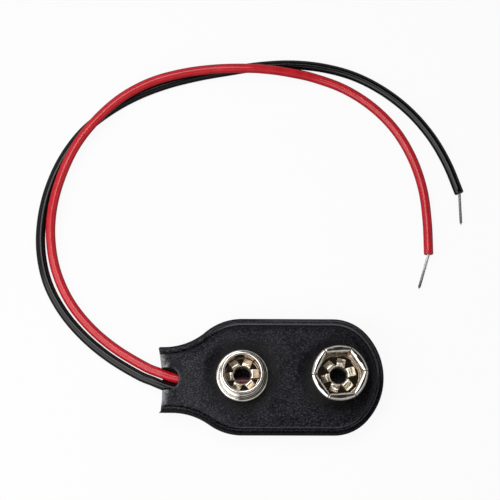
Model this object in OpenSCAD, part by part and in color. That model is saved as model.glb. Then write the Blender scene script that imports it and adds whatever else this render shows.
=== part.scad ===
// Nine-volt battery snap with two loose leads.
// A leatherette pad, welded round its rim from a front and a back sheet, holds a
// stiff fibre board. A stud and a six-leaf socket sit on the front sheet, each
// clamped by a tubular eyelet that comes through the board from behind and is
// splayed into six petals. The leads are soldered to the eyelets and leave
// through a notch in the tail.
// The pad lies on its back with the terminals up. The origin is on the back face,
// midway between the two terminals. The stud and the tail are towards -X.

/* [Pad outline] */
// Distance between the stud axis and the socket axis
pitch = 12.7; // [12.5:0.1:13.5]
// Full width of the pad
pad_w = 15.5; // [14.8:0.1:17]
// Distance from the socket axis to the round end
end_reach = 6.1; // [5.9:0.1:7]
// Radius of the round end
end_r = 8.6; // [8.2:0.1:9.4]
// Radius where the round end runs into the straight sides
corner_r = 6; // [5.2:0.1:6.4]
// Radius of the shoulders beside the stud
shoulder_r = 7.5; // [6.6:0.1:7.8]
// Radius of the hollow flanks of the neck
neck_r = 8.5; // [7.4:0.1:9]
// Width of the tail
tail_w = 8.7; // [8.2:0.1:9.4]
// Distance from the stud axis to the corners of the tail
tail_reach = 10.9; // [10.9:0.05:12.4]
// Depth of the hollow in the end edge of the tail
tail_hollow = 0.35; // [0.1:0.05:0.6]
// Sideways set of that hollow from the middle of the tail
hollow_set = -1.2; // [-1.5:0.1:1.5]
// Sideways set of the tail from the centre line
tail_set = -0.45; // [-0.5:0.05:0.4]
// Width of the notch that lets the leads out
notch_w = 3; // [2.6:0.1:3.4]
// Depth of the notch from the end edge
notch_l = 2.2; // [1.8:0.1:2.6]
// Sideways set of the notch from the middle of the tail
notch_set = 0.15; // [-0.2:0.05:0.2]

/* [Pad build-up] */
// Thickness of each leatherette sheet
sheet_t = 0.45; // [0.35:0.05:0.6]
// Distance from the pad edge to the weld line
weld_in = 0.85; // [0.7:0.05:1]
// Depth of the groove along the weld line
weld_deep = 0.12; // [0.05:0.01:0.2]
// Rise of the face above the welded rim
face_rise = 0.45; // [0.3:0.05:0.6]
// Droop of the front sheet beside the notch
lip_drop = 0.3; // [0:0.05:0.3]
// Thickness of the fibre board
board_t = 0.6; // [0.4:0.1:1]

/* [Stud] */
// Diameter of the stud head
stud_d = 5.6; // [5.4:0.1:5.8]
// Height of the stud above the pad face
stud_h = 3; // [2.7:0.1:3.4]
// Diameter of the stud foot
stud_foot_d = 7; // [6.6:0.1:7.4]
// Thickness of the rolled rim of the stud foot
foot_roll_d = 0.45; // [0.4:0.05:0.5]

/* [Socket] */
// Diameter across the rolled leaves of the socket
socket_d = 7.5; // [7.3:0.1:7.8]
// Diameter of the socket foot
socket_foot_d = 6.2; // [6:0.1:6.5]
// Height of the socket above the pad face
socket_h = 3.2; // [2.9:0.1:3.6]
// Diameter of the circle that the six leaves grip
grip_d = 5.44; // [5.3:0.02:5.6]
// Width of the slits between the leaves
slit_w = 0.28; // [0.15:0.01:0.4]
// Angle of the first slit from +X
slit_angle = 4; // [0:1:59]

/* [Terminal metal] */
// Thickness of the pressed terminal metal
metal_t = 0.3; // [0.25:0.05:0.35]

/* [Eyelets] */
// Bore of the tubular eyelets
eyelet_bore = 2.2; // [2.1:0.1:2.3]
// Wall thickness of the eyelets
eyelet_t = 0.2; // [0.15:0.05:0.2]
// Diameter of the eyelet flange behind the board
eyelet_flange_d = 5.1; // [4.9:0.1:5.4]
// Width of each splayed petal
petal_w = 1; // [0.8:0.05:1]
// Angle of the first stud petal from +X
stud_petal_angle = 6; // [0:1:59]
// Angle of the first socket petal from +X
socket_petal_angle = 13; // [0:1:59]

/* [Leads] */
// Outer diameter of each lead
lead_d = 1.3; // [1.1:0.05:1.3]
// Diameter of the tinned conductor
core_d = 0.38; // [0.3:0.02:0.5]
// Length of the bare end of the red lead
red_bare = 4.9; // [3:0.1:6]
// Length of the bare end of the black lead
black_bare = 4.35; // [3:0.05:6]

/* [Hidden] */
$fn = 96;

// Fits
barrel_gap = 0.05;
lead_gap = 0.05;
core_gap = 0.01;
board_gap = 0.05;
overcut = 1;

// Places along the pad
stud_x = -pitch / 2;
socket_x = pitch / 2;
end_x = socket_x + end_reach;
tail_x = stud_x - tail_reach;
tail_mid_x = tail_x + tail_hollow;
half_w = pad_w / 2;

// Heights of the build-up, from the back face
inside_z = sheet_t;
flange_z = inside_z + lead_d + 2 * lead_gap;
board_z = flange_z + eyelet_t;
board_top_z = board_z + board_t;
face_z = board_top_z + sheet_t;
weld_z = face_z - sheet_t - face_rise;

// Face of the pad falls to rim level along the neck
fall_from = 5.1;
fall_l = 3.6;
lip_l = 0.8;
fall_start_x = stud_x - fall_from;
fall_end_x = fall_start_x - fall_l;

// Round end: a wide arc between two tighter corner arcs
end_cx = end_x - end_r;
corner_y = half_w - corner_r;
corner_x = end_cx + sqrt(pow(end_r - corner_r, 2) - pow(corner_y, 2));
end_angle = atan2(corner_y, corner_x - end_cx);

// Neck: shoulder arc and hollow arc meet at this turn on each side
function tail_half(side) = tail_w / 2 + side * tail_set;
function neck_turn(side) = acos(1 - (half_w - tail_half(side)) / (shoulder_r + neck_r));
function neck_x(side) = stud_x - (shoulder_r + neck_r) * sin(neck_turn(side));

// Points along each arc, and how far before the neck those of the straight tail lie
neck_steps = 8;
corner_steps = 6;
end_steps = 4;
tail_stations = [1.2, 0.8, 0.4];

// One side of the outline, moved in by inset, from the tail to the round end
function outline_side(inset, tail_end, side) = concat(
    [[tail_end, side * (tail_half(side) - inset)]],
    [for (s = tail_stations) [neck_x(side) - s, side * (tail_half(side) - inset)]],
    [for (i = [0 : neck_steps])
        let (turn = neck_turn(side) * i / neck_steps)
        [neck_x(side) + (neck_r + inset) * sin(turn),
         side * (tail_half(side) + neck_r - (neck_r + inset) * cos(turn))]],
    [for (i = [1 : neck_steps])
        let (turn = neck_turn(side) * (1 - i / neck_steps))
        [stud_x - (shoulder_r - inset) * sin(turn),
         side * (half_w - shoulder_r + (shoulder_r - inset) * cos(turn))]],
    [for (i = [0 : corner_steps])
        let (turn = 90 + (end_angle - 90) * i / corner_steps)
        [corner_x + (corner_r - inset) * cos(turn),
         side * (corner_y + (corner_r - inset) * sin(turn))]],
    [for (i = [1 : end_steps])
        let (turn = end_angle * (1 - i / (end_steps + 0.5)))
        [end_cx + (end_r - inset) * cos(turn), side * (end_r - inset) * sin(turn)]]);

function reversed(list) = [for (i = [len(list) - 1 : -1 : 0]) list[i]];

// Whole outline, counter-clockwise from the lower tail corner
function outline(inset, tail_end) =
    concat(outline_side(inset, tail_end, -1), reversed(outline_side(inset, tail_end, 1)));

function ease(t) = let (u = min(max(t, 0), 1)) u * u * (3 - 2 * u);
function face_share(x) = ease((x - fall_end_x) / (fall_start_x - fall_end_x));
function lip_share(x) = ease((tail_mid_x + lip_l - x) / lip_l);

// A ring is [inset, height above the weld, share of the face rise, share of the lip droop]
function sheet_ring(ring, tail_end) = [
    for (p = outline(ring[0], tail_end + ring[0] / 4))
        [p[0], p[1], weld_z + ring[1] + ring[2] * face_rise * face_share(p[0])
                     - ring[3] * lip_drop * lip_share(p[0])]];

// Closed skin over rings of equal length, with both ends capped by strips across
module skin(rings) {
    n = len(rings[0]);
    last = len(rings) - 1;
    half = n / 2;
    sides = [for (k = [0 : last - 1]) for (j = [0 : n - 1]) each [
        [k * n + j, (k + 1) * n + j, (k + 1) * n + (j + 1) % n],
        [k * n + j, (k + 1) * n + (j + 1) % n, k * n + (j + 1) % n]]];
    first_cap = [for (i = [0 : half - 2]) each [
        [i, i + 1, n - 2 - i], [i, n - 2 - i, n - 1 - i]]];
    last_cap = [for (i = [0 : half - 2]) each [
        [last * n + i, last * n + n - 2 - i, last * n + i + 1],
        [last * n + i, last * n + n - 1 - i, last * n + n - 2 - i]]];
    polyhedron(points = [for (r = rings) each r], faces = concat(first_cap, sides, last_cap));
}

// What lies beyond the hollow end edge of the tail
module beyond_tail() {
    tail_arc_r = (pow(tail_w / 2, 2) + pow(tail_hollow, 2)) / (2 * tail_hollow);
    translate([tail_mid_x - tail_arc_r, tail_set + hollow_set, -overcut])
        cylinder(r = tail_arc_r, h = face_z + 2 * overcut);
}

module at_terminals() {
    for (x = [stud_x, socket_x]) translate([x, 0, 0]) children();
}

barrel_r = eyelet_bore / 2 + eyelet_t;
hole_r = barrel_r + barrel_gap;

// How far the sheets run past the tail before they are cut, outside and inside
tail_spare = 3;
mouth_spare = 2;

// The weld: rounding of the cut edges, half width of its groove, and how far in the sheets part
edge_round = 0.3;
groove_half = 0.2;
weld_half = 0.25;

// Width of the slope from the weld line up to the face, outside and inside
slope_l = 1.3;
slope_in = 1.2;

front_outside = [
    [0, 0, 0, 0],
    [0, sheet_t * 0.65, 0, 0],
    [edge_round * 0.4, sheet_t * 0.95, 0, 0],
    [edge_round, sheet_t, 0, 0],
    [weld_in - groove_half, sheet_t, 0, 0],
    [weld_in, sheet_t - weld_deep, 0, 0],
    [weld_in + groove_half, sheet_t, 0.1, 0.15],
    [weld_in + slope_l * 0.38, sheet_t, 0.55, 0.55],
    [weld_in + slope_l * 0.69, sheet_t, 0.87, 0.9],
    [weld_in + slope_l, sheet_t, 1, 1]];
front_inside = [
    [weld_in + slope_in, 0, 1, 1],
    [weld_in + slope_in * 0.75, 0, 0.75, 0.8],
    [weld_in + slope_in * 0.5, 0, 0.4, 0.35],
    [weld_in + weld_half, 0, 0, 0]];

module front_cover() {
    color([0.14, 0.14, 0.16])
    difference() {
        skin(concat(
            [for (ring = front_inside) sheet_ring(ring, tail_x - mouth_spare)],
            [for (ring = front_outside) sheet_ring(ring, tail_x - tail_spare)]));
        beyond_tail();
        at_terminals() cylinder(r = hole_r, h = face_z + overcut);
        translate([tail_mid_x + notch_l - notch_w / 2, tail_set + notch_set, 0]) {
            cylinder(d = notch_w, h = face_z + overcut);
            translate([-tail_spare, -notch_w / 2, 0])
                cube([tail_spare, notch_w, face_z + overcut]);
        }
    }
}

// The back sheet sags below the weld to make room for the leads
sag = weld_z - sheet_t;
sag_l = 2.45;
sag_in = 2.1;
sag_start = 0.15;
back_outside = [
    [weld_in + sag_l, -weld_z, 0, 0],
    [weld_in + sag_l * 0.82, -sheet_t - sag * 0.98, 0, 0],
    [weld_in + sag_l * 0.61, -sheet_t - sag * 0.88, 0, 0],
    [weld_in + sag_l * 0.41, -sheet_t - sag * 0.6, 0, 0],
    [weld_in + sag_l * 0.2, -sheet_t - sag * 0.2, 0, 0],
    [weld_in + sag_start, -sheet_t, 0, 0],
    [edge_round, -sheet_t, 0, 0],
    [edge_round * 0.4, -sheet_t * 0.95, 0, 0],
    [0, -sheet_t * 0.65, 0, 0],
    [0, 0, 0, 0]];
back_inside = [
    [weld_in + weld_half, 0, 0, 0],
    [weld_in + sag_in * 0.33, -sag * 0.24, 0, 0],
    [weld_in + sag_in * 0.55, -sag * 0.6, 0, 0],
    [weld_in + sag_in * 0.76, -sag * 0.88, 0, 0],
    [weld_in + sag_in, -sag, 0, 0]];

module back_cover() {
    color([0.13, 0.13, 0.15])
    difference() {
        skin(concat(
            [for (ring = back_outside) sheet_ring(ring, tail_x - tail_spare)],
            [for (ring = back_inside) sheet_ring(ring, tail_x - mouth_spare)]));
        beyond_tail();
    }
}

// The board stops where the face starts to fall, and inside the slope of the front sheet
board_back = 0.9;
board_in = weld_in + slope_in + board_gap;
board_left_x = fall_start_x + board_back;

module carrier_board() {
    color([0.5, 0.38, 0.26])
    difference() {
        translate([0, 0, board_z]) linear_extrude(board_t) intersection() {
            polygon(outline(board_in, tail_x));
            translate([board_left_x, -half_w]) square([end_x - board_left_x, pad_w]);
        }
        at_terminals() translate([0, 0, board_z - overcut])
            cylinder(r = hole_r, h = board_t + 2 * overcut);
    }
}

// Stud: a turned-over head on a waisted neck and a flat foot
stud_r = stud_d / 2;
head_wall = 0.46;
neck_in = 0.24;
head_h = 1.14;
neck_slope_h = 0.36;
step_h = 0.28;
stud_bore_r = stud_r - head_wall;

// Tubular eyelet: flange behind the board, barrel, and petals curled onto the terminal foot
foot_z = face_z + metal_t;
petal_gap = 0.05;
petal_r = stud_bore_r - petal_gap;
curl_r = (petal_r - eyelet_bore / 2) / 2;
split_deep = 0.15;
petal_count = 6;

module eyelet() {
    split_l = 2 * petal_r;
    split_half = split_l * tan(180 / petal_count);
    difference() {
        rotate_extrude() translate([eyelet_bore / 2, flange_z]) {
            square([eyelet_flange_d / 2 - eyelet_bore / 2, eyelet_t]);
            square([eyelet_t, foot_z - flange_z]);
            translate([curl_r, foot_z - flange_z]) difference() {
                circle(r = curl_r);
                circle(r = curl_r - eyelet_t);
                translate([-2 * curl_r, -4 * curl_r]) square(4 * curl_r);
            }
        }
        for (i = [0 : petal_count - 1]) rotate((i + 0.5) * 360 / petal_count)
            translate([petal_w, 0, foot_z - split_deep]) linear_extrude(petal_r)
                polygon([[0, 0], [split_l, -split_half], [split_l, split_half]]);
    }
}

module stud_eyelet() {
    color([0.8, 0.74, 0.6]) translate([stud_x, 0, 0]) rotate(stud_petal_angle) eyelet();
}

module socket_eyelet() {
    color([0.8, 0.74, 0.6]) translate([socket_x, 0, 0]) rotate(socket_petal_angle) eyelet();
}

module stud_terminal() {
    head_z = stud_h - head_h;
    waist_z = head_z - neck_slope_h;
    bead_r = head_wall / 2;
    color([0.78, 0.76, 0.72]) translate([stud_x, 0, face_z]) rotate_extrude() {
        translate([hole_r, 0]) square([stud_foot_d / 2 - foot_roll_d / 2 - hole_r, metal_t]);
        translate([stud_foot_d / 2 - foot_roll_d / 2, foot_roll_d / 2]) circle(d = foot_roll_d);
        translate([stud_bore_r, 0]) square([stud_r - neck_in - stud_bore_r, head_z]);
        translate([stud_bore_r, metal_t]) square([stud_r - stud_bore_r, step_h / 2]);
        translate([stud_r, metal_t]) circle(r = step_h / 2);
        translate([stud_bore_r, 0]) polygon([
            [0, waist_z], [head_wall - neck_in, waist_z], [head_wall, head_z], [0, head_z]]);
        translate([stud_bore_r, head_z]) square([head_wall, stud_h - bead_r - head_z]);
        translate([stud_r - bead_r, stud_h - bead_r]) circle(r = bead_r);
    }
}

// Socket: a round foot with six leaves that lean out, each rolled over into the grip
grip_cut = 0.06;
leaf_set = 0.08;
foot_set = 0.05;
grip_lip_h = 0.62;
slit_foot = 0.75;
cove_h = 0.55;
cove_gap = 0.12;
leaf_count = 6;
leaf_in = grip_d / 2 - grip_cut;
leaf_out = socket_d / 2 - leaf_set;
bead_out = (leaf_out - leaf_in) / 2;
roll_z = socket_h - bead_out;
socket_foot_r = socket_foot_d / 2;

module leaf_section() {
    foot_out = socket_foot_r - foot_set;
    translate([leaf_in + bead_out, roll_z]) difference() {
        circle(r = bead_out);
        circle(r = bead_out - metal_t);
        translate([-bead_out, -2 * bead_out]) square(2 * bead_out);
    }
    translate([leaf_in, roll_z - grip_lip_h]) square([metal_t, grip_lip_h]);
    polygon([[leaf_out - metal_t, roll_z], [foot_out - metal_t, 0], [foot_out, 0], [leaf_out, roll_z]]);
}

module socket_terminal() {
    side_l = 2 * leaf_out;
    wedge_l = socket_d;
    wedge_half = wedge_l * tan(180 / leaf_count);
    color([0.78, 0.76, 0.72]) translate([socket_x, 0, face_z]) difference() {
        union() {
            rotate_extrude() {
                translate([hole_r, 0]) square([socket_foot_r - metal_t / 2 - hole_r, metal_t]);
                translate([socket_foot_r - metal_t / 2, metal_t / 2]) circle(d = metal_t);
                polygon([[petal_r + cove_gap, metal_t], [socket_foot_r - metal_t, metal_t],
                         [socket_foot_r - metal_t, metal_t + cove_h]]);
            }
            intersection() {
                for (i = [0 : leaf_count - 1]) rotate(slit_angle + (i + 0.5) * 360 / leaf_count) intersection() {
                    translate([0, side_l / 2, 0]) rotate([90, 0, 0])
                        linear_extrude(side_l) leaf_section();
                    linear_extrude(socket_h)
                        polygon([[0, 0], [wedge_l, -wedge_half], [wedge_l, wedge_half]]);
                }
                rotate_extrude() polygon([[0, 0], [socket_foot_r, 0], [socket_d / 2, roll_z],
                                          [socket_d / 2, socket_h], [0, socket_h]]);
            }
        }
        for (i = [0 : leaf_count - 1]) rotate(slit_angle + i * 360 / leaf_count)
            translate([0, -slit_w / 2, slit_foot]) cube([socket_d, slit_w, socket_h]);
        translate([0, 0, slit_foot]) cylinder(d = grip_d, h = socket_h);
    }
}

// Leads: heights of the centre line on the floor, over the other lead and inside the pad
floor_z = lead_d / 2;
over_z = floor_z + lead_d + lead_gap;
pad_z = inside_z + lead_gap + lead_d / 2;
function lift(share) = floor_z + share * (over_z - floor_z);

// Where the conductors are soldered, on the eyelet flanges
stud_joint = [stud_x - 0.65, -1.95];
socket_joint = [socket_x - 1.8, -0.35];

black_route = [
    [-9.3, -1.95, pad_z], [-12.2, -1.95, pad_z], [-14.4, -1.72, pad_z], [-16.2, -1.28, pad_z],
    [-18.2, -0.48, lift(0.36)], [-20.2, 0.4, lift(0.15)], [-24.05, 2.73, lift(0.02)],
    [-27.58, 5.62, floor_z], [-30.52, 9.02, floor_z], [-32.7, 13.03, floor_z],
    [-33.74, 17.5, floor_z], [-33.72, 22, floor_z], [-32.82, 26.4, floor_z],
    [-31.1, 30.6, floor_z], [-28.5, 34.4, floor_z], [-25.15, 37.35, floor_z],
    [-21.27, 39.74, floor_z], [-17.06, 41.5, floor_z], [-12.68, 42.72, floor_z],
    [-8.3, 43.58, floor_z], [-3.8, 44.34, floor_z], [0.8, 44.6, floor_z],
    [5.3, 44.13, floor_z], [9.62, 42.87, floor_z], [13.64, 40.66, floor_z],
    [17.13, 37.73, floor_z], [20, 34.17, floor_z], [22.13, 30.22, floor_z],
    [23.72, 25.9, floor_z]];
red_route = [
    [2.6, -0.6, pad_z], [-1.8, -0.58, pad_z], [-6.3, -0.55, pad_z], [-10.8, -0.5, pad_z],
    [-13.6, -0.35, pad_z], [-15.6, 0.05, pad_z], [-17.4, 0.7, lift(0.38)],
    [-19.4, 1.58, lift(0.16)], [-23.45, 4.05, lift(0.03)], [-26.95, 7.05, lift(0.01)],
    [-29.77, 10.66, lift(0.01)], [-31.66, 14.88, lift(0.05)], [-32.44, 19.4, lift(0.3)],
    [-32.17, 23.8, lift(0.65)], [-30.94, 28.28, lift(0.9)], [-29.07, 32.38, over_z],
    [-26.35, 36.05, over_z], [-22.98, 39.17, over_z], [-19, 41.42, over_z],
    [-14.59, 42.74, over_z], [-10, 43.4, over_z], [-5.4, 43.54, over_z],
    [-2.39, 43.46, lift(0.78)], [0.24, 43.26, lift(0.4)], [3.71, 42.65, lift(0.06)],
    [8.02, 41.03, floor_z], [11.91, 38.42, floor_z], [15.06, 35.02, floor_z],
    [17.3, 30.95, floor_z], [18.66, 26.45, floor_z], [19.14, 21.82, floor_z],
    [19.2, 17.2, floor_z]];
red_tip_angle = -107;
black_tip_angle = -89;

// Smooth curve through the route's points, with rings_per_span rings on each span
rings_per_span = 2;
function route_point(route, i) =
    i < 0 ? 2 * route[0] - route[1] :
    i >= len(route) ? 2 * route[len(route) - 1] - route[len(route) - 2] : route[i];
function spline(a, b, c, d, t) =
    0.5 * (2 * b + (c - a) * t + (2 * a - 5 * b + 4 * c - d) * t * t
           + (3 * b - a - 3 * c + d) * t * t * t);
function path(route) = concat(
    [for (i = [0 : len(route) - 2]) for (k = [0 : rings_per_span - 1])
        spline(route_point(route, i - 1), route_point(route, i), route_point(route, i + 1),
               route_point(route, i + 2), k / rings_per_span)],
    [route[len(route) - 1]]);
function unit(v) = v / norm(v);
function path_way(p, i) = unit(p[min(i + 1, len(p) - 1)] - p[max(i - 1, 0)]);
sides = 8;
function path_ring(p, i, r) =
    let (way = path_way(p, i), across = unit(cross([0, 0, 1], way)), up = cross(way, across))
    [for (j = [0 : sides - 1]) p[i] + r * (cos(360 * j / sides) * across + sin(360 * j / sides) * up)];
// Faces between ring a and ring b, seen from outside
function band(a, b) = [for (j = [0 : sides - 1]) let (k = (j + 1) % sides)
    each [[a + j, b + j, b + k], [a + j, b + k, a + k]]];

module swept_rod(route, r) {
    p = path(route);
    last = len(p) - 1;
    polyhedron(
        points = [for (i = [0 : last]) each path_ring(p, i, r)],
        faces = concat(
            [for (i = [0 : last - 1]) each band(i * sides, (i + 1) * sides)],
            [for (j = [1 : sides - 2]) [0, j, j + 1]],
            [for (j = [1 : sides - 2]) [last * sides, last * sides + j + 1, last * sides + j]]));
}

module swept_tube(route, r, bore) {
    p = path(route);
    last = len(p) - 1;
    inner = (last + 1) * sides;
    polyhedron(
        points = concat([for (i = [0 : last]) each path_ring(p, i, r)],
                        [for (i = [0 : last]) each path_ring(p, i, bore)]),
        faces = concat(
            [for (i = [0 : last - 1]) each band(i * sides, (i + 1) * sides)],
            [for (i = [0 : last - 1]) each band(inner + (i + 1) * sides, inner + i * sides)],
            band(inner, 0),
            band(last * sides, inner + last * sides)));
}

bore_r = (core_d / 2 + core_gap) / cos(180 / sides);

// Straight round wire from one point to another
module wire(from, to) {
    way = to - from;
    translate(from)
        rotate([0, acos(way[2] / norm(way)), atan2(way[1], way[0])])
            cylinder(d = core_d, h = norm(way));
}

solder_under = 0.08;
joint_z = flange_z - core_d / 2 - solder_under;
function joint_end(joint) = [joint[0], joint[1], joint_z];

module inner_end(route, joint) {
    wire(route[0], joint_end(joint));
}

module bare_end(route, angle, length) {
    exit = route[len(route) - 1];
    wire(exit, exit + length * [cos(angle), sin(angle), 0]);
}

module red_lead() {
    color([0.78, 0.12, 0.17]) swept_tube(red_route, lead_d / 2, bore_r);
}

module black_lead() {
    color([0.07, 0.07, 0.08]) swept_tube(black_route, lead_d / 2, bore_r);
}

module red_conductor() {
    color([0.76, 0.75, 0.73]) {
        inner_end(red_route, socket_joint);
        swept_rod(red_route, core_d / 2);
        bare_end(red_route, red_tip_angle, red_bare);
    }
}

module black_conductor() {
    color([0.76, 0.75, 0.73]) {
        inner_end(black_route, stud_joint);
        swept_rod(black_route, core_d / 2);
        bare_end(black_route, black_tip_angle, black_bare);
    }
}

// Drop of solder under an eyelet flange, round the end of a conductor
solder_r = 0.58;
solder_sink = 0.14;

module solder_drop(route, joint) {
    difference() {
        intersection() {
            translate([joint[0], joint[1], flange_z - solder_sink]) sphere(r = solder_r);
            translate([joint[0] - overcut, joint[1] - overcut, flange_z - 2 * overcut])
                cube(2 * overcut);
        }
        inner_end(route, joint);
    }
}

module stud_solder_joint() {
    color([0.7, 0.7, 0.72]) solder_drop(black_route, stud_joint);
}

module socket_solder_joint() {
    color([0.7, 0.7, 0.72]) solder_drop(red_route, socket_joint);
}

front_cover();
back_cover();
carrier_board();
stud_terminal();
socket_terminal();
stud_eyelet();
socket_eyelet();
stud_solder_joint();
socket_solder_joint();
red_lead();
red_conductor();
black_lead();
black_conductor();
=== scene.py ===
"""Looks of a nine-volt battery snap: a leatherette pad with a stud, a socket and two loose leads.

Sizes are in millimetres, and points are turned into metres when a piece is made.
"""
from math import acos, atan2, cos, pi, radians, sin, sqrt

import bmesh
import bpy
import numpy as np
from mathutils import Matrix, Vector, geometry


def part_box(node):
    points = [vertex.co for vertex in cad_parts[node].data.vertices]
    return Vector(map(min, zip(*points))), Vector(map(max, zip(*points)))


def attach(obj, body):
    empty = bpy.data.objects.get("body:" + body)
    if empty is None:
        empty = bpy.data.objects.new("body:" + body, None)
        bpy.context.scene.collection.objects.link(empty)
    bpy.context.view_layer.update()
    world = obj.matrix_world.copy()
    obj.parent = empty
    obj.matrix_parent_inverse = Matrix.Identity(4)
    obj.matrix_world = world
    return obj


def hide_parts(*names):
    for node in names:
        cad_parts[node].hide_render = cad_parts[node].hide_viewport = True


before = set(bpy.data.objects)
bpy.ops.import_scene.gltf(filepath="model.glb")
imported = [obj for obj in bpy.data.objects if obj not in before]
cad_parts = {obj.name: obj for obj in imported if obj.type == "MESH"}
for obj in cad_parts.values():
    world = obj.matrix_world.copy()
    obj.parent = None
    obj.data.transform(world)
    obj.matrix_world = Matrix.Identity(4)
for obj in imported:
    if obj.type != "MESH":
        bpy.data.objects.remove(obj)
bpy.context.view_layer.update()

MM = 0.001
scene = bpy.context.scene


def corners_mm(node):
    """Lowest and highest corner of a CAD node, in millimetres."""
    low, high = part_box(node)
    return np.array(low) / MM, np.array(high) / MM


def new_object(name, data):
    """A new object in the scene."""
    made = bpy.data.objects.new(name, data)
    scene.collection.objects.link(made)
    return made


# Places and sizes read from the CAD nodes
stud_low, stud_high = corners_mm("stud_terminal")
socket_low, socket_high = corners_mm("socket_terminal")
eyelet_low, eyelet_high = corners_mm("stud_eyelet")
stud_x = (stud_low[0] + stud_high[0]) / 2
socket_x = (socket_low[0] + socket_high[0]) / 2
face_z = stud_low[2]
stud_foot_r = (stud_high[0] - stud_low[0]) / 2
stud_h = stud_high[2] - stud_low[2]
socket_r = max(socket_high[0] - socket_low[0], socket_high[1] - socket_low[1]) / 2
socket_h = socket_high[2] - socket_low[2]
flange_z = eyelet_low[2]
flange_r = (eyelet_high[0] - eyelet_low[0]) / 2

# Camera: fitted to the terminals and the pad outline in a 500 pixel square picture
SENSOR = 36.0
FOCAL_PX = 1459.0
PICTURE_PX = 500.0
CAMERA_SPOT = (-9.43, -29.51, 194.27)
CAMERA_TARGET = (-5.24, 17.86, 0)
CLIP_NEAR = 5
CLIP_FAR = 10000


def make_camera():
    """Camera at the photograph's place, with the part's +Y upwards in the picture."""
    data = bpy.data.cameras.new("photo_camera")
    data.sensor_width = SENSOR
    data.lens = SENSOR * FOCAL_PX / PICTURE_PX
    data.clip_start = CLIP_NEAR * MM
    data.clip_end = CLIP_FAR * MM
    camera = new_object("photo_camera", data)
    spot = Vector(CAMERA_SPOT) * MM
    back = (spot - Vector(CAMERA_TARGET) * MM).normalized()
    right = Vector((0, 1, 0)).cross(back).normalized()
    up = back.cross(right)
    camera.matrix_world = Matrix.LocRotScale(spot, Matrix((right, up, back)).transposed(), None)
    scene.camera = camera


make_camera()
scene.view_settings.view_transform = "Standard"

# Noise fills mostly this part of its range
NOISE_LOW = 0.3
NOISE_HIGH = 0.7


# Node helpers
class NodeMaker:
    """Short calls that add nodes to a node tree."""

    def __init__(self, tree):
        self.nodes = tree.nodes
        self.links = tree.links

    def feed(self, socket, value):
        """Sets a socket, or links it where the value is another node's socket."""
        if isinstance(value, bpy.types.NodeSocket):
            self.links.new(value, socket)
        else:
            socket.default_value = value

    def feed_named(self, node, inputs):
        """Feeds a node's inputs by name, where _ stands for a space."""
        for name, value in inputs.items():
            self.feed(node.inputs[name.replace("_", " ")], value)

    def add(self, kind, *values, operation=None, **inputs):
        """A shader node, fed in the order of its inputs or by their names."""
        node = self.nodes.new("ShaderNode" + kind)
        if operation:
            node.operation = operation
        for socket, value in zip(node.inputs, values):
            self.feed(socket, value)
        self.feed_named(node, inputs)
        return node

    def math(self, operation, *values):
        return self.add("Math", *values, operation=operation).outputs["Value"]

    def times(self, a, b):
        return self.math("MULTIPLY", a, b)

    def plus(self, a, b):
        return self.math("ADD", a, b)

    def less(self, a, b):
        return self.math("SUBTRACT", a, b)

    def ramp(self, value, stops):
        """Colour ramp: stops are (place, (r, g, b))."""
        node = self.add("ValToRGB", value)
        elements = node.color_ramp.elements
        while len(elements) < len(stops):
            elements.new(0.5)
        for element, (place, colour) in zip(elements, stops):
            element.position = place
            element.color = (*colour, 1)
        return node.outputs["Color"]

    def mix_shaders(self, share, a, b):
        return self.add("MixShader", share, a, b).outputs["Shader"]


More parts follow.
